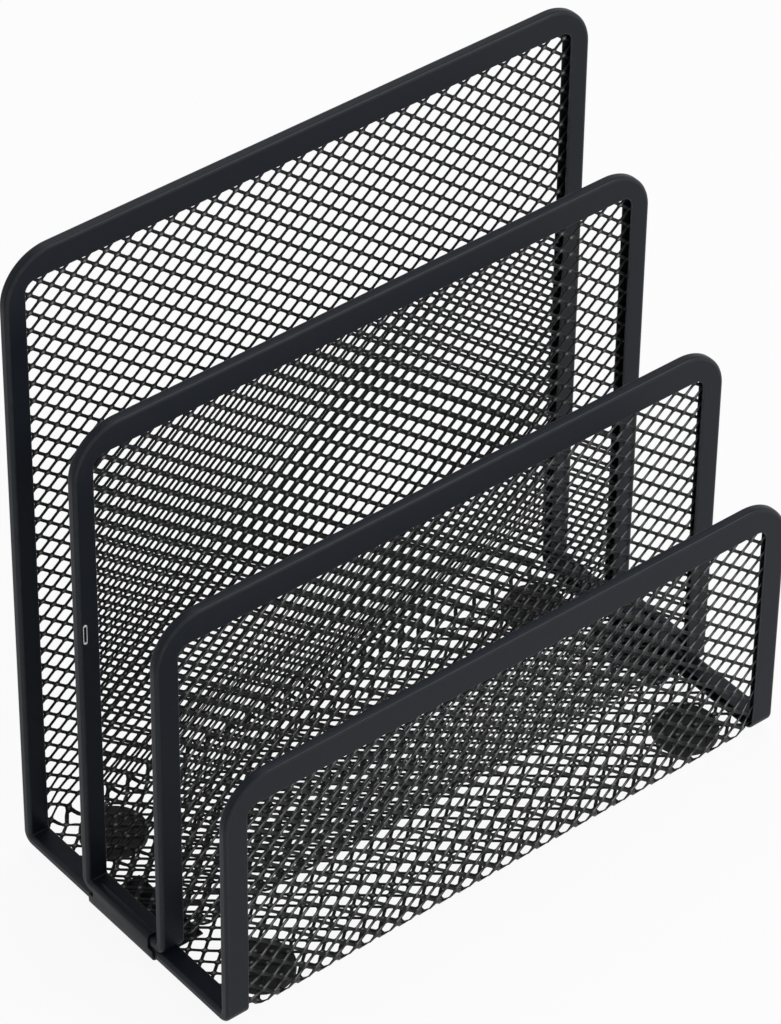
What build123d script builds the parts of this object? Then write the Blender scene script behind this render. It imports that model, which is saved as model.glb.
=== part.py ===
from build123d import *
import os
from math import hypot

# Desk letter holder, in millimetres. X runs across the holder, -Y is the front, +Z is up, and the
# origin is on the ground under the middle.
# Two mesh sheets, each folded to a U and bound all round with a steel channel, stand one inside the
# other: the outer one is the back panel, the floor and the front panel, and the inner one is the two
# dividers. A formed clamp on each side grips the two channels together. Four rubber feet carry it all.

# Overall sizes. Panel heights are measured from the underside of the outer rim.
overall_width = 170.0
back_height = 175.0
rear_divider_height = 140.5
front_divider_height = 104.5
front_height = 74.0

# Pitch of the three letter slots, from one panel's middle plane to the next
front_slot = 25.0
middle_slot = 29.25
rear_slot = 23.75

# Channel that binds the mesh sheets. Its flange on the outside of the fold is deeper than the one on the
# inside, and both are deeper along the top rails than down the stiles.
stile_inside_face = 5.6
stile_outside_face = 6.4
rail_inside_face = 7.5
rail_outside_face = 8.2
window_corner_radius = 3.0
rim_thickness = 2.8
rim_wall = 0.7
rim_edge_bevel = 0.8
corner_radius = 13.0
fold_radius = 3.6

# Mesh sheets. The diamonds are larger than the real ones, so that each sheet stays one light solid.
mesh_pinch_gap = 0.1
mesh_edge_gap = 0.3
mesh_columns = 8
mesh_cell_height = 17.0
mesh_strand = 2.0
mesh_border = 1.2

# Side clamps: a wall outside the rims, a lip over the divider rim and a plate under the floor
clamp_sheet = 0.6
clamp_lip = 2.1
clamp_lip_rise = 0.9
clamp_plate = 10.6
clamp_end_gap = 0.6
clamp_lip_gap = 0.2

# Rubber feet
foot_diameter = 17.0
foot_thickness = 2.6
foot_edge_bevel = 0.6
foot_side_inset = 18.5
foot_end_inset = 10.0

# Pressed slot in the front flange of the rear divider's left stile
press_slot_length = 6.2
press_slot_width = 1.4
press_slot_inset = 1.7
press_slot_height = 83.0

# Places worked out from the sizes above
half_width = overall_width / 2
tray_depth = front_slot + middle_slot + rear_slot
front_y = -tray_depth / 2
front_divider_y = front_y + front_slot
rear_divider_y = front_divider_y + middle_slot
back_y = rear_divider_y + rear_slot
mesh_thickness = rim_thickness - 2 * rim_wall - 2 * mesh_pinch_gap
rim_floor = foot_thickness - (rim_thickness - mesh_thickness) / 2
outer_floor_z = rim_floor + rim_thickness / 2
divider_floor_z = outer_floor_z + rim_thickness
rim_stack_top = rim_floor + 2 * rim_thickness
sheet_inset = rim_wall + mesh_edge_gap
sheet_width = overall_width - 2 * sheet_inset
rail_plate_inset = rim_wall + rim_edge_bevel
rail_plate_height = corner_radius + window_corner_radius
clamp_bend_radius = rim_edge_bevel + clamp_sheet / 2


def bound_rim(front, low_panel, back, high_panel, floor_z):
    """Channel round a U-folded sheet: half of the loop is swept and mirrored, then each rail is deepened."""
    front_top = rim_floor + low_panel
    back_top = rim_floor + high_panel
    start = (0, back, back_top)
    with BuildLine() as edge:
        FilletPolyline(
            start,
            (-half_width, back, back_top),
            (-half_width, back, floor_z),
            (-half_width, front, floor_z),
            (-half_width, front, front_top),
            (0, front, front_top),
            radius=[corner_radius, fold_radius, fold_radius, corner_radius],
        )
    with BuildPart() as rim:
        with BuildSketch(Plane(origin=start, x_dir=(0, 0, -1), z_dir=(-1, 0, 0))) as section:
            Rectangle(stile_outside_face, rim_thickness, align=(Align.MIN, Align.CENTER))
            chamfer(section.vertices().group_by(Axis.X)[0], rim_edge_bevel)
            with Locations((rim_wall, 0)):
                Rectangle(
                    stile_outside_face - rim_wall,
                    rim_thickness - 2 * rim_wall,
                    align=(Align.MIN, Align.CENTER),
                    mode=Mode.SUBTRACT,
                )
            with Locations((stile_inside_face, 0)):
                Rectangle(
                    stile_outside_face - stile_inside_face,
                    rim_thickness / 2,
                    align=(Align.MIN, Align.MIN),
                    mode=Mode.SUBTRACT,
                )
        sweep(path=edge.line)
        mirror(about=Plane.YZ)
        for panel_y, top, inward in ((back, back_top, -1), (front, front_top, 1)):
            for side, stile_face, rail_face in (
                (inward, stile_inside_face, rail_inside_face),
                (-inward, stile_outside_face, rail_outside_face),
            ):
                plate_y = panel_y + side * (rim_thickness / 2 - rim_wall)
                with BuildSketch(Plane.XZ.offset(-plate_y)) as plate:
                    with Locations((0, top - rail_plate_inset)):
                        Rectangle(
                            overall_width - 2 * rail_plate_inset,
                            rail_plate_height - rail_plate_inset,
                            align=(Align.CENTER, Align.MAX),
                        )
                    fillet(plate.vertices().group_by(Axis.Y)[-1], corner_radius - rail_plate_inset)
                    with Locations((0, top - rail_face)):
                        RectangleRounded(
                            overall_width - 2 * stile_face,
                            2 * rail_plate_height,
                            window_corner_radius,
                            align=(Align.CENTER, Align.MAX),
                            mode=Mode.SUBTRACT,
                        )
                extrude(amount=-side * rim_wall)
    return rim.part


def net_face(plane, width, height, corner):
    """Holed face of a net about its plane's origin: staggered diamonds, halved along the border."""
    open_width = width - 2 * mesh_border
    open_height = height - 2 * mesh_border
    rows = max(1, round(open_height / mesh_cell_height))
    half_w = open_width / mesh_columns / 2
    half_h = open_height / rows / 2
    open_share = 1 - mesh_strand / 2 * hypot(half_w, half_h) / (half_w * half_h)
    arc_x = open_width / 2 - corner
    arc_y = open_height / 2 - corner

    def past_corner(x, y):
        return abs(x) > arc_x and y > arc_y and hypot(abs(x) - arc_x, y - arc_y) > corner

    holes = []
    for row in range(2 * rows + 1):
        for column in range(row % 2, 2 * mesh_columns + 1, 2):
            x = column * half_w - open_width / 2
            y = row * half_h - open_height / 2
            right = [(x + half_w * open_share, y)] if column < 2 * mesh_columns else []
            upper = [(x, y + half_h * open_share)] if row < 2 * rows else []
            left = [(x - half_w * open_share, y)] if column > 0 else []
            lower = [(x, y - half_h * open_share)] if row > 0 else []
            tips = right + upper + left + lower
            if len(tips) == 2:
                tips.append((x, y))
            if not any(past_corner(*tip) for tip in tips):
                holes.append(Wire.make_polygon([plane.from_local_coords(tip) for tip in tips]))
    with BuildSketch(plane) as sheet:
        Rectangle(width, height)
        if corner > 0:
            fillet(sheet.vertices().group_by(Axis.Y)[-1], corner)
    return sheet.sketch.face().make_holes(holes)


def upright_net(y, floor_z, panel_height):
    """Upright net, from the end of its fold to the bottom of the channel in the rim's top rail."""
    bottom = floor_z + fold_radius
    top = rim_floor + panel_height - sheet_inset
    plane = Plane(origin=(0, y, (bottom + top) / 2), x_dir=(1, 0, 0), z_dir=(0, -1, 0))
    face = net_face(plane, sheet_width, top - bottom, corner_radius - sheet_inset)
    with BuildPart() as net:
        extrude(face, amount=mesh_thickness / 2, both=True)
    return net.part


def level_net(front, back, floor_z):
    """Level net with the two folds that turn it up into the panels at the front and the back."""
    plane = Plane(origin=(0, (front + back) / 2, floor_z))
    face = net_face(plane, sheet_width, back - front - 2 * fold_radius, 0)
    with BuildPart() as net:
        extrude(face, amount=mesh_thickness / 2, both=True)
        for fold_y, first_angle in ((front + fold_radius, 180), (back - fold_radius, 270)):
            with BuildSketch(Plane.YZ):
                with BuildLine():
                    CenterArc((fold_y, floor_z + fold_radius), fold_radius, first_angle, 90)
                trace(line_width=mesh_thickness)
            extrude(amount=sheet_width / 2, both=True)
    return net.part


def finish(piece, name):
    """Names a finished piece and writes it."""
    piece.label = name
    export_step(piece, f"parts/{name}.step")


os.makedirs("parts", exist_ok=True)

# Outer sheet and its rim
finish(bound_rim(front_y, front_height, back_y, back_height, outer_floor_z), "outer_rim")
finish(upright_net(back_y, outer_floor_z, back_height), "back_mesh")
finish(level_net(front_y, back_y, outer_floor_z), "floor_mesh")
finish(upright_net(front_y, outer_floor_z, front_height), "front_mesh")

# Divider sheet and its rim, which lies on the outer rim along both sides of the floor
with BuildPart() as divider_rim:
    add(
        bound_rim(
            front_divider_y,
            front_divider_height,
            rear_divider_y,
            rear_divider_height,
            divider_floor_z,
        )
    )
    front_face = Plane.XZ.offset(rim_thickness / 2 - rear_divider_y)
    with BuildSketch(front_face):
        with Locations((press_slot_inset - half_width, rim_floor + press_slot_height)):
            SlotOverall(press_slot_length, press_slot_width, rotation=90)
    extrude(amount=-rim_wall, mode=Mode.SUBTRACT)
finish(divider_rim.part, "divider_rim")
finish(upright_net(rear_divider_y, divider_floor_z, rear_divider_height), "rear_divider_mesh")
finish(level_net(front_divider_y, rear_divider_y, divider_floor_z), "divider_floor_mesh")
finish(upright_net(front_divider_y, divider_floor_z, front_divider_height), "front_divider_mesh")

# Side clamps. The wall and the plate run nearly from divider to divider, and the lip only as far as the
# floor stretch of the divider rim is flat.
clamp_middle = (front_divider_y + rear_divider_y) / 2
clamp_length = middle_slot - rim_thickness - 2 * clamp_end_gap
lip_length = middle_slot - 2 * fold_radius - 2 * clamp_lip_gap
wall_x = -half_width - clamp_sheet / 2
with BuildPart() as left_clamp:
    with BuildSketch(Plane.XZ.offset(-clamp_middle)) as clamp_section:
        with BuildLine():
            FilletPolyline(
                (clamp_plate - half_width, rim_floor - clamp_sheet / 2),
                (wall_x, rim_floor - clamp_sheet / 2),
                (wall_x, rim_stack_top + clamp_sheet / 2 + clamp_lip_rise),
                (clamp_lip - half_width, rim_stack_top + clamp_sheet / 2),
                radius=clamp_bend_radius,
            )
        trace(line_width=clamp_sheet)
    extrude(amount=clamp_length / 2, both=True)
    notch = (clamp_length - lip_length) / 2
    for end in (-1, 1):
        with Locations((-half_width, clamp_middle + end * clamp_length / 2, rim_stack_top - rim_thickness)):
            Box(
                2 * clamp_lip,
                2 * notch,
                2 * rim_thickness,
                align=(Align.MIN, Align.CENTER, Align.MIN),
                mode=Mode.SUBTRACT,
            )
finish(left_clamp.part, "left_clamp")
with BuildPart() as right_clamp:
    mirror(left_clamp.part, about=Plane.YZ)
finish(right_clamp.part, "right_clamp")

# Rubber feet, bonded under the floor mesh near its corners
for end_name, end_y in (("front", front_y + foot_end_inset), ("rear", back_y - foot_end_inset)):
    for side_name, side in (("left", -1), ("right", 1)):
        with BuildPart() as foot:
            with Locations((side * (half_width - foot_side_inset), end_y, 0)):
                Cylinder(
                    foot_diameter / 2,
                    foot_thickness,
                    align=(Align.CENTER, Align.CENTER, Align.MIN),
                )
            chamfer(foot.edges().group_by(Axis.Z)[0], foot_edge_bevel)
        finish(foot.part, f"foot_{end_name}_{side_name}")
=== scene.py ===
from math import cos, hypot, pi, radians, sin, tan
import bmesh
import bpy
from mathutils import Matrix, Vector


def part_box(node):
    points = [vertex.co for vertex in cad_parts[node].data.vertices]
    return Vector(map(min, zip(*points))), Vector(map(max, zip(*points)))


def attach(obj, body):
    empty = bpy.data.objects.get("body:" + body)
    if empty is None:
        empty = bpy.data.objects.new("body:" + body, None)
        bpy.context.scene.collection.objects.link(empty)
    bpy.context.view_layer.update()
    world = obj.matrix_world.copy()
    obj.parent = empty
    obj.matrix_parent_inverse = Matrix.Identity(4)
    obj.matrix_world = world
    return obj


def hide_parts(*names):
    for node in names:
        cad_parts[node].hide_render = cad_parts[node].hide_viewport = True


# Desk letter holder: two steel mesh sheets folded to a U, each bound with a channel rim, held together by
# a clamp on each side and standing on four rubber feet. Sizes are in metres, in the frame's own axes:
# X across, -Y to the front, +Z up.

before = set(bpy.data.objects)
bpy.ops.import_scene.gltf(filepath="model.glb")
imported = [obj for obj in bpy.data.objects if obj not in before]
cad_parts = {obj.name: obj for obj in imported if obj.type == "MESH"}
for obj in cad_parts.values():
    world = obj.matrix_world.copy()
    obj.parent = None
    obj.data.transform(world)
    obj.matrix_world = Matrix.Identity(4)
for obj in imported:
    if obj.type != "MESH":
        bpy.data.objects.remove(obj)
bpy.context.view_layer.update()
MM = 0.001

# Channel rim. Its flange on the outside of the fold is deeper than the one on the inside, and both are
# deeper along the top rails than down the stiles.
stile_inside_face = 5.6 * MM
stile_outside_face = 6.4 * MM
rail_inside_face = 7.5 * MM
rail_outside_face = 8.2 * MM
window_corner_radius = 3.0 * MM
rim_thickness = 2.8 * MM
rim_wall = 0.7 * MM
rim_edge_radius = 0.85 * MM
rim_lip_radius = 0.3 * MM
rim_inner_radius = 0.3 * MM
corner_radius = 13.0 * MM
fold_radius = 1.8 * MM
sheet_inset = 1.0 * MM
corner_steps = 28
fold_steps = 12
edge_steps = 5
lip_steps = 3
flat_hold = 0.15 * MM
run_hold = 0.6 * MM

# How strongly a rim's outer edges and lips are lightened towards the highlight tone, from 0 to 1: a painted
# highlight
edge_painted_highlight = 0.5
lip_painted_highlight = 1.0

# Expanded mesh
mesh_pitch_across = 6.1 * MM
mesh_pitch_along = 5.0 * MM
strand_width = 0.86 * MM
strand_thickness = 0.34 * MM
strand_bevel = 0.12 * MM
strand_crotch = 0.42 * MM
knuckle_rise = 0.07 * MM
mesh_margin = 2.3 * MM
weld_distance = 0.02 * MM

# How far the mesh is lightened towards its highlight tone: a painted glint at each crossing, and a painted
# highlight on the outer side of the sheet along one edge of the strands of one diagonal, as (arm of the
# crossing, point of that arm, share)
inner_knuckle_glint = 1.0
outer_knuckle_glint = 0.5
outer_edge_highlight = ((2, 3, 0.92), (3, 0, 0.92), (1, 1, 0.92), (1, 2, 0.3))

# Where each sheet's mesh lies in its rim, and how far it bulges outwards at the folds and over the floor
outer_mesh_across = -1.3 * MM
outer_mesh_along = -0.35 * MM
outer_fold_sag = 1.6 * MM
outer_floor_sag = 0.43 * MM
divider_mesh_across = 0.6 * MM
divider_mesh_along = 0.4 * MM
divider_fold_sag = 0.5 * MM
divider_floor_sag = 0.3 * MM

# The bulge starts in from the sides, fades up the panels, and eases from the folds to the floor
sag_side_inset = 5.0 * MM
sag_side_run = 7.0 * MM
sag_panel_rise = 22.0 * MM
sag_fold_run = 2.4 * MM

# Side clamps: a wall outside the rims, a lip over the divider rim and a plate under the floor
clamp_sheet = 0.6 * MM
clamp_edge_round = 0.17 * MM
clamp_edge_steps = 3
clamp_plate = 14.5 * MM
clamp_lip = 2.1 * MM
clamp_lip_rise = 0.9 * MM
clamp_lip_shortfall = 1.8 * MM
clamp_bend_radius = 1.1 * MM
clamp_bend_steps = 6

# Pressed slot in the front flange of the rear divider's left stile, with a rolled edge of bare steel
press_slot_length = 5.2 * MM
press_slot_width = 0.85 * MM
press_slot_inset = 1.7 * MM
press_slot_height = 83.0 * MM
press_slot_depth = 0.3 * MM
press_slot_roll = 0.11 * MM
press_slot_end_swell = 1.6
press_slot_steps = 12
press_slot_turns = 8

# Rubber feet
foot_edge_round = 0.7 * MM
foot_edge_steps = 6
foot_top_steps = 4
foot_dish_depth = 0.35 * MM
foot_dish_share = 0.62
foot_turns = 64

# Edges turn sharp past this angle where a piece has both soft and sharp ones
sharp_angle = radians(45)

# Powder coat: clouds in its tone, an uneven sheen and an orange peel
cloud_scale = 34.0
cloud_detail = 3.0
sheen_scale = 420.0
sheen_detail = 2.0
sheen_spread = 0.1
peel_detail = 2.0
peel_strength = 0.22
peel_depth = 0.05 * MM
# Least share and spread of the painted highlight and glint, scaled by the sheen noise
highlight_least = 0.4
highlight_spread = 0.9

# Bare steel
steel_dull_tone = (0.72, 0.725, 0.735)
steel_bright_tone = (0.95, 0.955, 0.965)
steel_scratch_scale = 900.0
steel_scratch_detail = 3.0
steel_roughness = 0.28
steel_roughness_spread = 0.2
steel_metal_share = 0.15

# Rubber
rubber_tone = (0.008, 0.008, 0.009)
rubber_dust_tone = (0.017, 0.017, 0.018)
rubber_dust_scale = 260.0
rubber_dust_detail = 4.0
rubber_grain_scale = 2600.0
rubber_grain_detail = 1.0
rubber_grain_strength = 0.3
rubber_grain_depth = 0.04 * MM
rubber_roughness = 0.7
rubber_roughness_spread = 0.2
rubber_gloss = 0.3

# Floor and light. Each soft box has a name, a place, a width and height, and a power in watts.
floor_reach = 6.0
floor_tone = 0.86
floor_glow_share = 0.92
room_light = 0.36
light_target = (0, 0, 0.08)
soft_boxes = (
    ("key box", (0.65, -0.8, 0.85), (0.45, 0.45), 6.4),
    ("top box", (0.32, 0.38, 1.2), (0.6, 0.6), 4.0),
    ("left fill", (-1.1, -0.35, 0.75), (0.6, 0.9), 0.4),
)

# Camera, as the photograph was taken. The picture is 781 by 1024 pixels.
picture_height = 1024
focal_pixels = 5200
sensor_size = 36.0
camera_near = 0.05
camera_azimuth = radians(-39.41)
camera_elevation = radians(40.02)
camera_roll = radians(0.77)
camera_place = Vector((-595.0, -718.0, 870.2)) * MM


# Folded sheets

def smooth_share(value):
    """Value held between 0 and 1, with a soft start and end."""
    held = min(max(value, 0), 1)
    return held * held * (3 - 2 * held)


class Sheet:
    """A sheet folded to a U, in the flat: x across it and s along it, from 0 at the middle of its floor."""

    def __init__(self, front_node, floor_node, back_node, mesh_across, mesh_along, fold_sag, floor_sag):
        self.nodes = (front_node, floor_node, back_node)
        front_low, front_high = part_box(front_node)
        back_low, back_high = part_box(back_node)
        wall = front_high.y - front_low.y
        front = (front_low.y + front_high.y) / 2
        back = (back_low.y + back_high.y) / 2
        self.middle = (front + back) / 2
        self.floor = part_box(floor_node)[0].z + wall / 2
        self.flat_half = (back - front) / 2 - fold_radius
        self.fold_end = self.flat_half + fold_radius * pi / 2
        self.back_reach = self.fold_end + back_high.z + sheet_inset - self.floor - fold_radius
        self.front_reach = self.fold_end + front_high.z + sheet_inset - self.floor - fold_radius
        self.half_width = back_high.x + sheet_inset
        self.mesh_across = mesh_across
        self.mesh_along = mesh_along
        self.fold_sag = fold_sag
        self.floor_sag = floor_sag

    def place(self, x, s, n):
        """The point at x and s on the flat sheet and n above its inner side, once the sheet is folded."""
        side = 1 if s > 0 else -1
        bent = max(abs(s) - self.flat_half, 0)
        angle = min(bent / fold_radius, pi / 2)
        rise = max(bent - fold_radius * pi / 2, 0)
        reach = min(abs(s), self.flat_half) + (fold_radius - n) * sin(angle)
        height = fold_radius - (fold_radius - n) * cos(angle) + rise
        return Vector((x, self.middle + side * reach, self.floor + height))

    def sag(self, x, s):
        """How far the mesh bulges outwards: most at the folds, less over the floor, none at the rim."""
        across = smooth_share((self.half_width - sag_side_inset - abs(x)) / sag_side_run)
        along = smooth_share(1 - (abs(s) - self.fold_end) / sag_panel_rise)
        fold_middle = (self.flat_half + self.fold_end) / 2
        floor_share = smooth_share((fold_middle - abs(s)) / sag_fold_run)
        return across * (self.fold_sag * along + (self.floor_sag - self.fold_sag) * floor_share)


outer_sheet = Sheet(
    "front_mesh", "floor_mesh", "back_mesh",
    outer_mesh_across, outer_mesh_along, outer_fold_sag, outer_floor_sag,
)
divider_sheet = Sheet(
    "front_divider_mesh", "divider_floor_mesh", "rear_divider_mesh",
    divider_mesh_across, divider_mesh_along, divider_fold_sag, divider_floor_sag,
)
rim_bottom = outer_sheet.floor - rim_thickness / 2
flange_y = divider_sheet.place(0, divider_sheet.back_reach, rim_thickness / 2).y


# Node trees

class Socket:
    """A node's output socket, with the arithmetic that adds Math nodes to its tree."""

    def __init__(self, graph, link):
        self.graph = graph
        self.link = link

    def maths(self, operation, *values):
        return self.graph.node("ShaderNodeMath", {"operation": operation}, dict(enumerate(values)))

    def __add__(self, other):
        return self.maths("ADD", self, other)

    def __sub__(self, other):
        return self.maths("SUBTRACT", self, other)

    def __rsub__(self, other):
        return self.maths("SUBTRACT", other, self)

    def __mul__(self, other):
        return self.maths("MULTIPLY", self, other)

    def __truediv__(self, other):
        return self.maths("DIVIDE", self, other)

    def __mod__(self, other):
        return self.maths("MODULO", self, other)

    def __gt__(self, other):
        return self.maths("GREATER_THAN", self, other)

    __radd__ = __add__
    __rmul__ = __mul__

    def call(self, operation, *values):
        return self.maths(operation, self, *values)

    def beside(self, name):
        """Another output of the same node."""
        return Socket(self.graph, self.link.node.outputs[name])


class Graph:
    """Adds nodes to one node tree."""

    def __init__(self, tree):
        self.tree = tree

    def node(self, kind, settings=None, inputs=None, out=0):
        made = self.tree.nodes.new(kind)
        for key, value in (settings or {}).items():
            setattr(made, key, value)
        for key, value in (inputs or {}).items():
            if isinstance(value, Socket):
                self.tree.links.new(value.link, made.inputs[key])
            else:
                made.inputs[key].default_value = value
        return Socket(self, made.outputs[out]) if made.outputs else made

    def noise(self, place, scale, detail):
        return self.node("ShaderNodeTexNoise", inputs={"Vector": place, "Scale": scale, "Detail": detail})

    def blend(self, share, first, second):
        """Mix of two colours, each a tone or a socket."""
        colours = [c if isinstance(c, Socket) else (*c, 1) for c in (first, second)]
        return self.node(
            "ShaderNodeMix",
            {"data_type": "RGBA"},
            {"Factor": share, 6: colours[0], 7: colours[1]},
            out=2,
        )

    def bump(self, strength, distance, height):
        return self.node(
            "ShaderNodeBump",
            inputs={"Strength": strength, "Distance": distance, "Height": height},
        )


# Materials

def new_material(name):
    material = bpy.data.materials.new(name)
    material.use_nodes = True
    material.node_tree.nodes.clear()
    return material, Graph(material.node_tree)


def close_material(graph, shader):
    graph.node("ShaderNodeOutputMaterial", inputs={"Surface": shader})


def powder_coat(name, tone, cloud_tone, roughness, grain, gloss, painted_light, highlight_tone):
    """Satin black powder coat: a cloudy blue-black tone, an uneven sheen and a fine orange peel.

    The attribute named by painted_light says where the coat is lightened to its highlight tone, as a
    painted highlight.
    """
    material, graph = new_material(name)
    place = graph.node("ShaderNodeTexCoord", out="Object")
    clouds = graph.noise(place, cloud_scale, cloud_detail)
    sheen = graph.noise(place, sheen_scale, sheen_detail)
    peel = graph.noise(place, grain, peel_detail)
    # Painted highlight: this attribute, squared and scaled by the sheen noise, lightens the coat towards
    # its highlight tone
    worn = graph.node("ShaderNodeAttribute", {"attribute_name": painted_light}, out="Fac")
    rubbed = worn * worn * (highlight_least + sheen * highlight_spread)
    shader = graph.node(
        "ShaderNodeBsdfPrincipled",
        inputs={
            "Base Color": graph.blend(rubbed, graph.blend(clouds, tone, cloud_tone), highlight_tone),
            "Roughness": roughness - sheen_spread / 2 + sheen * sheen_spread,
            "Specular IOR Level": gloss,
            "Normal": graph.bump(peel_strength, peel_depth, peel),
        },
    )
    close_material(graph, shader)
    return material


def worn_steel(name):
    """Bare steel with fine scratches, where a pressed edge has lost its coat."""
    material, graph = new_material(name)
    place = graph.node("ShaderNodeTexCoord", out="Object")
    scratches = graph.noise(place, steel_scratch_scale, steel_scratch_detail)
    shader = graph.node(
        "ShaderNodeBsdfPrincipled",
        inputs={
            "Base Color": graph.blend(scratches, steel_dull_tone, steel_bright_tone),
            "Roughness": steel_roughness + scratches * steel_roughness_spread,
            "Metallic": steel_metal_share,
        },
    )
    close_material(graph, shader)
    return material


def rubber(name):
    """Matt black rubber with a fine moulded grain and a little dust."""
    material, graph = new_material(name)
    place = graph.node("ShaderNodeTexCoord", out="Object")
    dust = graph.noise(place, rubber_dust_scale, rubber_dust_detail)
    grain = graph.noise(place, rubber_grain_scale, rubber_grain_detail)
    shader = graph.node(
        "ShaderNodeBsdfPrincipled",
        inputs={
            "Base Color": graph.blend(dust, rubber_tone, rubber_dust_tone),
            "Roughness": rubber_roughness + dust * rubber_roughness_spread,
            "Specular IOR Level": rubber_gloss,
            "Normal": graph.bump(rubber_grain_strength, rubber_grain_depth, grain),
        },
    )
    close_material(graph, shader)
    return material


rim_coat = powder_coat(
    "rim powder coat",
    tone=(0.0075, 0.0108, 0.0170),
    cloud_tone=(0.0100, 0.0123, 0.0175),
    roughness=0.40,
    grain=1900.0,
    gloss=0.125,
    # Painted highlight along the rim's outer edges and lips, lightening it towards highlight_tone
    painted_light="rubbed",
    highlight_tone=(0.085, 0.088, 0.094),
)
mesh_coat = powder_coat(
    "mesh powder coat",
    tone=(0.0140, 0.0147, 0.0162),
    cloud_tone=(0.0185, 0.0192, 0.0207),
    roughness=0.42,
    grain=2600.0,
    gloss=0.09,
    # Painted glint at the crossings and painted highlight along one edge of some strands
    painted_light="knuckle",
    highlight_tone=(0.42, 0.425, 0.435),
)
bare_steel = worn_steel("worn steel")
foot_rubber = rubber("foot rubber")


# Making of any piece

def piece_from(name, mesh, material, slot, *replaced):
    """Turns a finished mesh into a piece that rides on the holder in place of the named nodes."""
    mesh.materials.clear()
    mesh.materials.append(material)
    piece = bpy.data.objects.new(name, mesh)
    bpy.context.scene.collection.objects.link(piece)
    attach(piece, "root")
    if replaced:
        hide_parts(*replaced)


def smooth_outwards(work):
    """Points all faces outwards and shades them smooth."""
    bmesh.ops.recalc_face_normals(work, faces=work.faces)
    for face in work.faces:
        face.smooth = True


def smooth_mesh(name, points, faces):
    mesh = bpy.data.meshes.new(name)
    mesh.from_pydata(points, [], faces)
    work = bmesh.new()
    work.from_mesh(mesh)
    smooth_outwards(work)
    work.to_mesh(mesh)
    work.free()
    return mesh


def finished(mesh, *modifiers):
    """The mesh with modifiers applied, each given as its type and its settings."""
    holder = bpy.data.objects.new(mesh.name, mesh)
    bpy.context.scene.collection.objects.link(holder)
    for kind, settings in modifiers:
        modifier = holder.modifiers.new(kind.lower(), kind)
        for key, value in settings.items():
            setattr(modifier, key, value)
    bpy.context.view_layer.update()
    evaluated = holder.evaluated_get(bpy.context.evaluated_depsgraph_get())
    made = bpy.data.meshes.new_from_object(evaluated)
    made.name = mesh.name
    made.set_sharp_from_angle(angle=sharp_angle)
    bpy.data.objects.remove(holder)
    return made


def arc(centre, radius, start, turn, steps):
    """Points of a flat arc, ends included, with its angles in radians."""
    angles = [start + turn * i / steps for i in range(steps + 1)]
    return [(centre[0] + radius * cos(a), centre[1] + radius * sin(a)) for a in angles]


def ring_faces(rings, count):
    """Four-sided faces of a closed tube of rings of count points each, the last joined to the first."""
    faces = []
    for ring in range(rings):
        ahead = (ring + 1) % rings
        for i in range(count):
            j = (i + 1) % count
            faces.append((ring * count + i, ring * count + j, ahead * count + j, ahead * count + i))
    return faces


# Channel rims

def channel_section():
    """Section of the channel: (line, depth inside that line, height off the sheet's middle) points.

    The lines run round the sheet: 0 is the rim's outer edge, 1 the inside lip and 2 the outside lip. The
    second list gives each point's share of the painted highlight that lightens the coat along its edges and
    lips.
    """
    half = rim_thickness / 2
    slot = half - rim_wall
    edge = [(0, half - rim_edge_radius - flat_hold)]
    edge += arc((rim_edge_radius, half - rim_edge_radius), rim_edge_radius, pi, -pi / 2, edge_steps)
    edge += [(rim_edge_radius + flat_hold, half)]
    lip = [(-rim_lip_radius - flat_hold, half)]
    lip += arc((-rim_lip_radius, half - rim_lip_radius), rim_lip_radius, pi / 2, -pi / 2, lip_steps)
    lip += arc((-rim_lip_radius, slot + rim_lip_radius), rim_lip_radius, 0, -pi / 2, lip_steps)
    groove = [(rim_wall + rim_inner_radius, slot), (rim_wall, slot - rim_inner_radius)]
    inside = [(0, *p) for p in edge] + [(1, *p) for p in lip] + [(0, *p) for p in groove]
    outside = [(2 * line, depth, -height) for line, depth, height in reversed(inside)]

    # The rounds of the edge and the lip get the painted highlight, all but the points that they start with
    rubbed = [edge_painted_highlight if 2 < i < edge_steps + 2 else 0 for i in range(len(edge))]
    rubbed += [lip_painted_highlight if 1 < i < lip_steps + 2 else 0 for i in range(len(lip))]
    rubbed += [0 for _ in groove]
    return inside + outside, rubbed + rubbed[::-1]


def fold_stations(sheet):
    """Places along the sheet where a straight edge needs a ring of points to follow the folds."""
    span = sheet.fold_end - sheet.flat_half
    steps = [sheet.flat_half + span * i / fold_steps for i in range(fold_steps + 1)]
    steps += [sheet.flat_half - run_hold, sheet.fold_end + run_hold]
    return sorted([-s for s in steps] + steps)


def edge_line(sheet, stile_inset, rail_inset, radius):
    """Line round a sheet in the flat, that far inside its edge, as (x, s, inward x, inward s) points."""
    half = sheet.half_width - stile_inset
    back = sheet.back_reach - rail_inset - radius
    front = radius + rail_inset - sheet.front_reach
    quarter = [pi / 2 * i / corner_steps for i in range(corner_steps + 1)]
    corners = []
    for start, side_x, end_s in ((0, 1, back), (pi / 2, -1, back), (pi, -1, front), (3 * pi / 2, 1, front)):
        for step, run in [(0, -run_hold)] + [(q, 0) for q in quarter] + [(pi / 2, run_hold)]:
            turn_x, turn_s = cos(start + step), sin(start + step)
            corners.append((
                side_x * (half - radius) + radius * turn_x - run * turn_s,
                end_s + radius * turn_s + run * turn_x,
                -turn_x,
                -turn_s,
            ))
    stations = fold_stations(sheet)
    right = [(half, s, -1, 0) for s in stations]
    left = [(-half, s, 1, 0) for s in reversed(stations)]
    turn = len(corners) // 2
    return corners[:turn] + left + corners[turn:] + right


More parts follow.
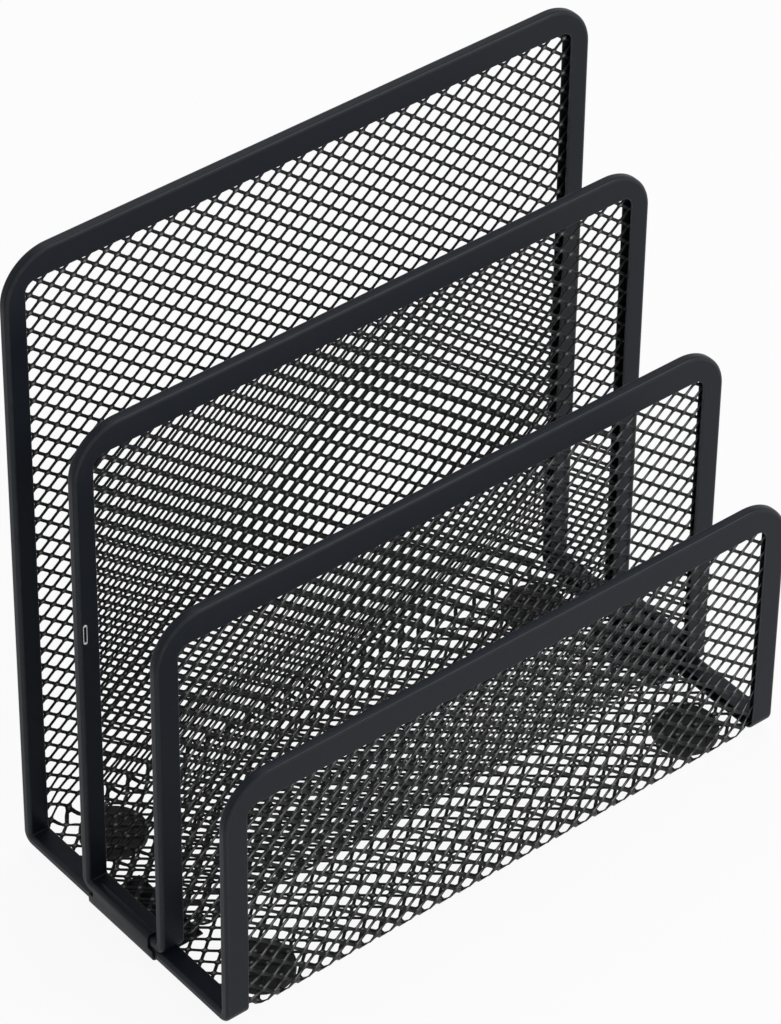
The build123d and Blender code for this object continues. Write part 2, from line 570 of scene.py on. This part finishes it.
def bound_rim(name, sheet):
    """Channel swept round the flat sheet and folded with it."""
    lines = [
        edge_line(sheet, 0, 0, corner_radius),
        edge_line(sheet, stile_inside_face, rail_inside_face, window_corner_radius),
        edge_line(sheet, stile_outside_face, rail_outside_face, window_corner_radius),
    ]
    section, rubbed = channel_section()
    rings = len(lines[0])
    points = []
    for ring in range(rings):
        for line, depth, height in section:
            x, s, in_x, in_s = lines[line][ring]
            points.append(sheet.place(x + in_x * depth, s + in_s * depth, height))
    mesh = smooth_mesh(name, points, ring_faces(rings, len(section)))
    # Each point's share of the painted highlight along the rim's edges and lips
    sheen = mesh.attributes.new("rubbed", "FLOAT", "POINT")
    for i in range(len(points)):
        sheen.data[i].value = rubbed[i % len(section)]
    return mesh


# Press slot

def press_slot_line(grow):
    """Outline of the press slot, grown all round, as (x, height, outward x, outward height) points."""
    radius = press_slot_width / 2
    run = press_slot_length / 2 - radius
    line = []
    for start, middle in ((0, run), (pi, -run)):
        for i in range(press_slot_steps + 1):
            angle = start + pi * i / press_slot_steps
            out_x, out_z = cos(angle), sin(angle)
            line.append((
                press_slot_inset - divider_sheet.half_width + (radius + grow) * out_x,
                rim_bottom + press_slot_height + middle + (radius + grow) * out_z,
                out_x,
                out_z,
            ))
    return line


def slotted(mesh):
    """The divider rim with the press slot sunk in the front flange of its rear panel."""
    front = flange_y - rim_thickness
    rear = flange_y + press_slot_depth
    line = press_slot_line(0)
    points = [(x, front, z) for x, z, *_ in line] + [(x, rear, z) for x, z, *_ in line]
    count = len(line)
    faces = [list(range(count)), list(range(count, 2 * count))]
    faces += [(i, (i + 1) % count, (i + 1) % count + count, i + count) for i in range(count)]
    cutter = bpy.data.objects.new("press slot", smooth_mesh("press slot", points, faces))
    bpy.context.scene.collection.objects.link(cutter)
    made = finished(mesh, ("BOOLEAN", {"operation": "DIFFERENCE", "solver": "EXACT", "object": cutter}))
    bpy.data.objects.remove(cutter)
    return made


def press_slot_edge():
    """Rolled edge round the press slot, half sunk in the flange and thicker at the slot's two ends."""
    line = press_slot_line(press_slot_roll / 2)
    points = []
    for x, z, out_x, out_z in line:
        roll = press_slot_roll * (1 + press_slot_end_swell * out_z * out_z)
        for turn in range(press_slot_turns):
            off = roll * cos(2 * pi * turn / press_slot_turns)
            up = roll * sin(2 * pi * turn / press_slot_turns)
            points.append((x + off * out_x, flange_y - up, z + off * out_z))
    return smooth_mesh("press slot edge", points, ring_faces(len(line), press_slot_turns))


# Expanded mesh

def strand_cross():
    """One crossing of the mesh with half of each of its four strands, as an object to repeat."""
    half_x = mesh_pitch_across / 4
    half_s = mesh_pitch_along / 4
    length = hypot(half_x, half_s)
    along_x, along_s = half_x / length, half_s / length

    def outline(half_width):
        """Four arms in turn: the two corners at the arm's end and the two ends of the crotch after it."""
        crotch_x = half_width / along_s
        crotch_s = half_width / along_x
        points = []
        for turn_x, turn_s in ((1, 1), (-1, 1), (-1, -1), (1, -1)):
            end_x, end_s = turn_x * half_x, turn_s * half_s
            off_x, off_s = -turn_s * along_s * half_width, turn_x * along_x * half_width
            first, second = (end_x - off_x, end_s - off_s), (end_x + off_x, end_s + off_s)
            upright = turn_x * turn_s > 0
            tip = (0, turn_s * crotch_s) if upright else (turn_x * crotch_x, 0)
            next_turn = (-turn_x, turn_s) if upright else (turn_x, -turn_s)
            leave = (tip[0] + turn_x * along_x * strand_crotch, tip[1] + turn_s * along_s * strand_crotch)
            enter = (
                tip[0] + next_turn[0] * along_x * strand_crotch,
                tip[1] + next_turn[1] * along_s * strand_crotch,
            )
            points += [first, second, leave, enter]
        return points

    arm_points = 4
    wide = outline(strand_width / 2)
    narrow = outline(strand_width / 2 - strand_bevel)
    count = len(wide)
    lower = 2 * count
    top = strand_thickness / 2
    points = [(x, s, top) for x, s in narrow]
    points += [(x, s, 0) for x, s in wide]
    points += [(x, s, -top) for x, s in narrow]
    inner_peak, outer_peak = len(points), len(points) + 1
    points += [(0, 0, top + knuckle_rise), (0, 0, -top - knuckle_rise)]
    faces = []
    knuckle_edge = []
    for first in range(0, count, arm_points):
        before = (first - 1) % count
        upper = [before, first, first + 1, first + 2]
        knuckle_edge += [first + 2, first + 3]
        faces.append(upper)
        faces.append([lower + i for i in reversed(upper)])
        for i in range(first + 1, first + arm_points):
            j = (i + 1) % count
            for ring in (0, count):
                faces.append([ring + i, ring + i + count, ring + j + count, ring + j])
    for i, j in zip(knuckle_edge, knuckle_edge[1:] + knuckle_edge[:1]):
        faces.append([inner_peak, i, j])
        faces.append([outer_peak, lower + j, lower + i])
    mesh = bpy.data.meshes.new("strand cross")
    mesh.from_pydata(points, [], faces)
    # Painted glint at the crossing's two peaks, and painted highlight along one outer edge of the strands
    # of one diagonal
    knuckle = mesh.attributes.new("knuckle", "FLOAT", "POINT")
    knuckle.data[inner_peak].value = inner_knuckle_glint
    knuckle.data[outer_peak].value = outer_knuckle_glint
    for arm, point, painted_light in outer_edge_highlight:
        knuckle.data[lower + arm_points * arm + point].value = painted_light
    return bpy.data.objects.new("strand cross", mesh)


def mesh_tree(material):
    """Node tree that lays crossings in a staggered grid over one stretch of a flat sheet."""
    tree = bpy.data.node_groups.new("expanded mesh", "GeometryNodeTree")
    graph = Graph(tree)
    tree.interface.new_socket("Geometry", in_out="OUTPUT", socket_type="NodeSocketGeometry")
    for name, kind in (
        ("Crossing", "NodeSocketObject"),
        ("Columns", "NodeSocketInt"),
        ("Rows", "NodeSocketInt"),
        ("First Row", "NodeSocketInt"),
        ("Pitch Across", "NodeSocketFloat"),
        ("Pitch Along", "NodeSocketFloat"),
        ("Shift Across", "NodeSocketFloat"),
        ("Shift Along", "NodeSocketFloat"),
        ("Half Width", "NodeSocketFloat"),
        ("Front Reach", "NodeSocketFloat"),
        ("Back Reach", "NodeSocketFloat"),
        ("Corner Radius", "NodeSocketFloat"),
    ):
        tree.interface.new_socket(name, in_out="INPUT", socket_type=kind)
    given = graph.node("NodeGroupInput").beside

    # A point for each crossing, every second row half a pitch over
    index = graph.node("GeometryNodeInputIndex")
    row = (index / given("Columns")).call("FLOOR")
    column = index - row * given("Columns")
    grid_row = row + given("First Row")
    shift = grid_row.call("ABSOLUTE") % 2 * 0.5
    x = (column + shift - given("Columns") * 0.5) * given("Pitch Across") + given("Shift Across")
    s = grid_row * given("Pitch Along") * 0.5 + given("Shift Along")
    spot = graph.node("ShaderNodeCombineXYZ", inputs={"X": x, "Y": s})
    count = given("Columns") * given("Rows")
    points = graph.node("GeometryNodePoints", inputs={"Count": count, "Position": spot})

    # The points that lie outside the sheet's round-cornered edge go
    half_length = (given("Front Reach") + given("Back Reach")) * 0.5
    centre = (given("Back Reach") - given("Front Reach")) * 0.5
    place = graph.node("ShaderNodeSeparateXYZ", inputs={0: graph.node("GeometryNodeInputPosition")})
    past_x = place.beside("X").call("ABSOLUTE") - given("Half Width")
    past_s = (place.beside("Y") - centre).call("ABSOLUTE") - half_length
    round_x = (past_x + given("Corner Radius")).call("MAXIMUM", 0.0)
    round_s = (past_s + given("Corner Radius")).call("MAXIMUM", 0.0)
    corner = (round_x * round_x + round_s * round_s).call("SQRT") - given("Corner Radius")
    outside = corner.call("MAXIMUM", past_x).call("MAXIMUM", past_s) > 0.0
    kept = graph.node(
        "GeometryNodeDeleteGeometry",
        {"domain": "POINT"},
        {"Geometry": points, "Selection": outside},
    )

    # A crossing on each point that is left, joined to the next ones
    crossing = graph.node("GeometryNodeObjectInfo", inputs={"Object": given("Crossing")}, out="Geometry")
    laid = graph.node("GeometryNodeInstanceOnPoints", inputs={"Points": kept, "Instance": crossing})
    real = graph.node("GeometryNodeRealizeInstances", inputs={"Geometry": laid})
    welded = graph.node("GeometryNodeMergeByDistance", inputs={"Geometry": real, "Distance": weld_distance})
    smooth = graph.node("GeometryNodeSetShadeSmooth", inputs={"Geometry": welded})
    coated = graph.node("GeometryNodeSetMaterial", inputs={"Geometry": smooth, "Material": material})
    graph.node("NodeGroupOutput", inputs={"Geometry": coated})
    return tree


def flat_net(tree, cross, sheet, first_row, rows):
    """Some rows of a sheet's mesh, still flat."""
    holder = bpy.data.objects.new("flat net", bpy.data.meshes.new("flat net"))
    bpy.context.scene.collection.objects.link(holder)
    modifier = holder.modifiers.new("expanded mesh", "NODES")
    modifier.node_group = tree
    values = {
        "Crossing": cross,
        "Columns": int(2 * sheet.half_width / mesh_pitch_across) + 2,
        "Rows": rows,
        "First Row": first_row,
        "Pitch Across": mesh_pitch_across,
        "Pitch Along": mesh_pitch_along,
        "Shift Across": sheet.mesh_across,
        "Shift Along": sheet.mesh_along,
        "Half Width": sheet.half_width - mesh_margin,
        "Front Reach": sheet.front_reach - mesh_margin,
        "Back Reach": sheet.back_reach - mesh_margin,
        "Corner Radius": corner_radius - mesh_margin,
    }
    for item in tree.interface.items_tree:
        if item.in_out == "INPUT":
            modifier[item.identifier] = values[item.name]
    bpy.context.view_layer.update()
    evaluated = holder.evaluated_get(bpy.context.evaluated_depsgraph_get())
    mesh = bpy.data.meshes.new_from_object(evaluated)
    holder.modifiers.remove(modifier)
    bpy.data.objects.remove(holder)
    return mesh


def folded_net(name, tree, cross, sheet, low, high):
    """The rows of a sheet's mesh from low to high along it, folded, with their cut strand ends closed."""
    half_pitch = mesh_pitch_along / 2
    first_row = int((low - sheet.mesh_along) // half_pitch) + 1
    last_row = int((high - sheet.mesh_along) // half_pitch)
    mesh = flat_net(tree, cross, sheet, first_row, last_row - first_row + 1)
    mesh.name = name
    work = bmesh.new()
    work.from_mesh(mesh)
    for vertex in work.verts:
        x, s, n = vertex.co
        vertex.co = sheet.place(x, s, n - sheet.sag(x, s))
    bmesh.ops.holes_fill(work, edges=[edge for edge in work.edges if edge.is_boundary], sides=0)
    smooth_outwards(work)
    work.to_mesh(mesh)
    work.free()
    return mesh


# Rubber feet

def lathe(name, centre, profile):
    """Closed solid turned about the vertical through centre, from (radius, height) points."""
    points = []
    for turn in range(foot_turns):
        angle = 2 * pi * turn / foot_turns
        points += [(centre.x + r * cos(angle), centre.y + r * sin(angle), z) for r, z in profile]
    count = len(profile)
    faces = []
    for turn in range(foot_turns):
        ahead = (turn + 1) % foot_turns
        for i in range(count - 1):
            faces.append((turn * count + i, ahead * count + i, ahead * count + i + 1, turn * count + i + 1))
    faces.append([turn * count for turn in range(foot_turns)])
    faces.append([turn * count + count - 1 for turn in range(foot_turns)])
    return smooth_mesh(name, points, faces)


def rubber_foot(name, node):
    """Round pad with a shallow dish below, a round lower edge and a smaller round at its top."""
    low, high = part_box(node)
    centre = (low + high) / 2
    radius = (high.x - low.x) / 2
    dish = radius * foot_dish_share
    lower = foot_edge_round
    upper = foot_edge_round / 2
    profile = [(dish - foot_dish_depth, low.z + foot_dish_depth), (dish, low.z)]
    profile += arc((radius - lower, low.z + lower), lower, -pi / 2, pi / 2, foot_edge_steps)
    profile += arc((radius - upper, high.z - upper), upper, 0, pi / 2, foot_top_steps)
    return lathe(name, centre, profile)


# Side clamps

def bend_arc(before, bend, after):
    """Points of the rounded bend of a folded line."""
    into = (Vector(bend) - Vector(before)).normalized()
    away = (Vector(after) - Vector(bend)).normalized()
    turn = into.angle_signed(away)
    reach = clamp_bend_radius * tan(abs(turn) / 2)
    start = Vector(bend) - into * reach
    end = Vector(bend) + away * reach
    points = []
    for i in range(clamp_bend_steps + 1):
        share = i / clamp_bend_steps
        near = start.lerp(Vector(bend), share)
        far = Vector(bend).lerp(end, share)
        points.append(tuple(near.lerp(far, share)))
    return points


def side_clamp(name, node, side):
    """Clamp folded from sheet: plate, wall and a lip that is shorter than the wall, with rounded edges."""
    low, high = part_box(node)
    wall = divider_sheet.half_width + clamp_sheet / 2
    plate_end = divider_sheet.half_width - clamp_plate
    plate_z = rim_bottom - clamp_sheet / 2
    lip_z = rim_bottom + 2 * rim_thickness + clamp_sheet / 2
    notch_z = rim_bottom + rim_thickness
    bends = [
        (plate_end, plate_z),
        (wall, plate_z),
        (wall, lip_z + clamp_lip_rise),
        (divider_sheet.half_width - clamp_lip, lip_z),
    ]
    line = [bends[0]]
    line += bend_arc(*bends[:3])
    line.append((wall, notch_z))
    line += bend_arc(*bends[1:])
    line.append(bends[3])
    cuts = [low.y, low.y + clamp_lip_shortfall, high.y - clamp_lip_shortfall, high.y]
    across = len(cuts)
    lip_column = 1
    points = [(side * x, y, z) for x, z in line for y in cuts]
    faces = []
    for row in range(len(line) - 1):
        below_notch = max(line[row][1], line[row + 1][1]) <= notch_z + weld_distance
        for column in range(across - 1):
            if column == lip_column or below_notch:
                first = across * row + column
                faces.append((first, first + 1, first + across + 1, first + across))
    used = sorted({i for face in faces for i in face})
    order = {old: new for new, old in enumerate(used)}
    faces = [[order[i] for i in face] for face in faces]
    return finished(
        smooth_mesh(name, [points[i] for i in used], faces),
        ("SOLIDIFY", {"thickness": clamp_sheet, "offset": 0.0}),
        ("BEVEL", {
            "width": clamp_edge_round,
            "segments": clamp_edge_steps,
            "limit_method": "ANGLE",
            "angle_limit": sharp_angle,
        }),
    )


# The holder's pieces

piece_from("outer_rim_bound", bound_rim("outer_rim_bound", outer_sheet), rim_coat, "rim", "outer_rim")
divider_rim = slotted(bound_rim("divider_rim_bound", divider_sheet))
piece_from("divider_rim_bound", divider_rim, rim_coat, "rim", "divider_rim")
piece_from("press_slot_edge", press_slot_edge(), bare_steel, "rim")

crossing = strand_cross()
net_tree = mesh_tree(mesh_coat)
for sheet in (outer_sheet, divider_sheet):
    seams = (-sheet.front_reach, -sheet.fold_end, sheet.fold_end, sheet.back_reach)
    for node, low, high in zip(sheet.nodes, seams, seams[1:]):
        net = folded_net(node + "_net", net_tree, crossing, sheet, low, high)
        piece_from(node + "_net", net, mesh_coat, "mesh", node)

for node in ("foot_front_left", "foot_front_right", "foot_rear_left", "foot_rear_right"):
    piece_from(node + "_pad", rubber_foot(node + "_pad", node), foot_rubber, "foot", node)

for node, side in (("left_clamp", -1), ("right_clamp", 1)):
    piece_from(node + "_folded", side_clamp(node + "_folded", node, side), rim_coat, "clamp", node)


# Floor, light and camera

def plain_view(graph):
    """1 for the rays that look at the surroundings, straight or in a gloss, and 0 for those that light."""
    seen = graph.node("ShaderNodeLightPath", out="Is Camera Ray")
    in_gloss = seen.beside("Is Glossy Ray")
    through = seen.beside("Is Transmission Ray")
    return seen.call("MAXIMUM", in_gloss).call("MAXIMUM", through)


def white_floor():
    """White floor that shows its own colour and a faint shadow."""
    mesh = bpy.data.meshes.new("floor")
    corners = [(x * floor_reach, y * floor_reach, 0) for x, y in ((-1, -1), (1, -1), (1, 1), (-1, 1))]
    mesh.from_pydata(corners, [], [(0, 1, 2, 3)])
    floor = bpy.data.objects.new("floor", mesh)
    bpy.context.scene.collection.objects.link(floor)
    material, graph = new_material("white floor")
    plain = graph.node("ShaderNodeBsdfDiffuse", inputs={"Color": (floor_tone, floor_tone, floor_tone, 1)})
    glow = graph.node("ShaderNodeEmission", inputs={"Color": (1, 1, 1, 1), "Strength": 1.0})
    share = plain_view(graph) * floor_glow_share
    close_material(graph, graph.node("ShaderNodeMixShader", inputs={0: share, 1: plain, 2: glow}))
    mesh.materials.append(material)


def soft_box(name, place, size, power):
    """Rectangular lamp aimed at the holder."""
    lamp = bpy.data.lights.new(name, "AREA")
    lamp.shape = "RECTANGLE"
    lamp.size, lamp.size_y = size
    lamp.energy = power
    holder = bpy.data.objects.new(name, lamp)
    holder.location = place
    holder.rotation_euler = (Vector(light_target) - Vector(place)).to_track_quat("-Z", "Y").to_euler()
    bpy.context.scene.collection.objects.link(holder)


def studio():
    """White surroundings that light the holder softly from all round, with the soft boxes in them."""
    world = bpy.data.worlds.new("studio")
    bpy.context.scene.world = world
    world.use_nodes = True
    world.node_tree.nodes.clear()
    graph = Graph(world.node_tree)
    strength = room_light + plain_view(graph) * (1 - room_light)
    glow = graph.node("ShaderNodeBackground", inputs={"Color": (1, 1, 1, 1), "Strength": strength})
    graph.node("ShaderNodeOutputWorld", inputs={"Surface": glow})
    for box in soft_boxes:
        soft_box(*box)


def photograph_camera():
    camera = bpy.data.cameras.new("camera")
    camera.sensor_fit = "AUTO"
    camera.sensor_width = sensor_size
    camera.lens = focal_pixels * sensor_size / picture_height
    camera.clip_start = camera_near
    holder = bpy.data.objects.new("camera", camera)
    back = Vector((
        sin(camera_azimuth) * cos(camera_elevation),
        -cos(camera_azimuth) * cos(camera_elevation),
        sin(camera_elevation),
    ))
    level_right = (-back).cross(Vector((0, 0, 1))).normalized()
    level_up = level_right.cross(-back)
    right = level_right * cos(camera_roll) + level_up * sin(camera_roll)
    up = level_up * cos(camera_roll) - level_right * sin(camera_roll)
    holder.matrix_world = Matrix.Translation(camera_place) @ Matrix((right, up, back)).transposed().to_4x4()
    bpy.context.scene.collection.objects.link(holder)
    bpy.context.scene.camera = holder


white_floor()
studio()
photograph_camera()
bpy.context.scene.view_settings.view_transform = "Standard"
